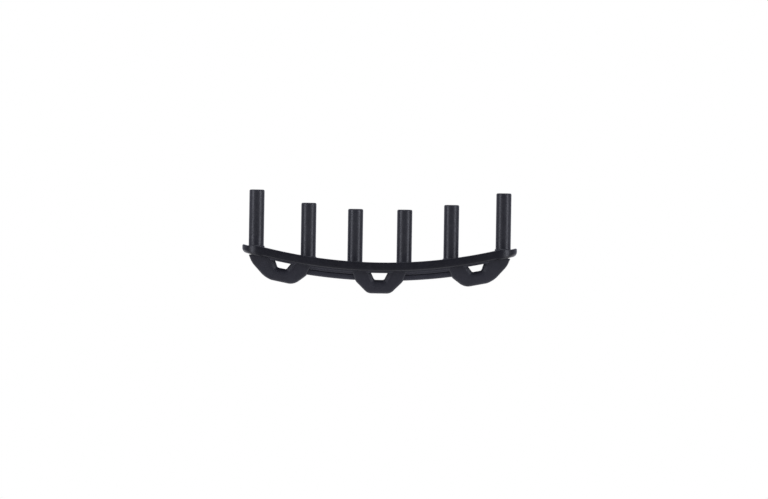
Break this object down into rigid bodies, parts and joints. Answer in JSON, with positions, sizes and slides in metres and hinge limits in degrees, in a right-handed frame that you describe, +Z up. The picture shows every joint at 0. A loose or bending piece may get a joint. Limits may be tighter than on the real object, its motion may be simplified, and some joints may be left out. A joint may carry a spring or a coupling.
{
  "type": "vibration dampener",
  "caption": "Curved throat grommet strip for a tennis racket, with string tubes on top and flexing arches below that carry the strings and damp them.",
  "frame": {"origin": "middle of the seat, where the strip's concave top meets the underside of the racket's bridge", "axes": "+X along the strip, to the right seen from the front; +Y away from the front face; +Z up, out of the seat, along the string tubes"},
  "size_m": [0.0654, 0.0094, 0.0242],
  "materials": {
    "strip": "satin black moulded nylon",
    "pad": "matt black soft rubber",
    "spine": "satin charcoal elastomer",
    "tube": "satin black moulded nylon",
    "arch": "satin charcoal elastomer",
    "saddle": "smooth low-friction black plastic"
  },
  "bodies": {
    "strip": {"carrier_strip": "strip", "seat_pad": "pad", "damper_spine": "spine", "tube_1": "tube", "tube_2": "tube", "tube_3": "tube", "tube_4": "tube", "tube_5": "tube", "tube_6": "tube", "arch_left": "arch", "arch_centre": "arch", "arch_right": "arch"},
    "saddle_left": {"saddle_left": "saddle"},
    "saddle_centre": {"saddle_centre": "saddle"},
    "saddle_right": {"saddle_right": "saddle"}
  },
  "joints": [
    {"name": "flex_left", "type": "slide", "parent": "strip", "child": "saddle_left", "axis": [0.1933, 0, 0.9811], "range_m": [0, 0.0008], "stiffness_N_per_m": 600000, "deforming": ["arch_left"]},
    {"name": "flex_centre", "type": "slide", "parent": "strip", "child": "saddle_centre", "axis": [0, 0, 1], "range_m": [0, 0.0008], "stiffness_N_per_m": 600000, "deforming": ["arch_centre"]},
    {"name": "flex_right", "type": "slide", "parent": "strip", "child": "saddle_right", "axis": [-0.1933, 0, 0.9811], "range_m": [0, 0.0008], "stiffness_N_per_m": 600000, "deforming": ["arch_right"]}
  ]
}
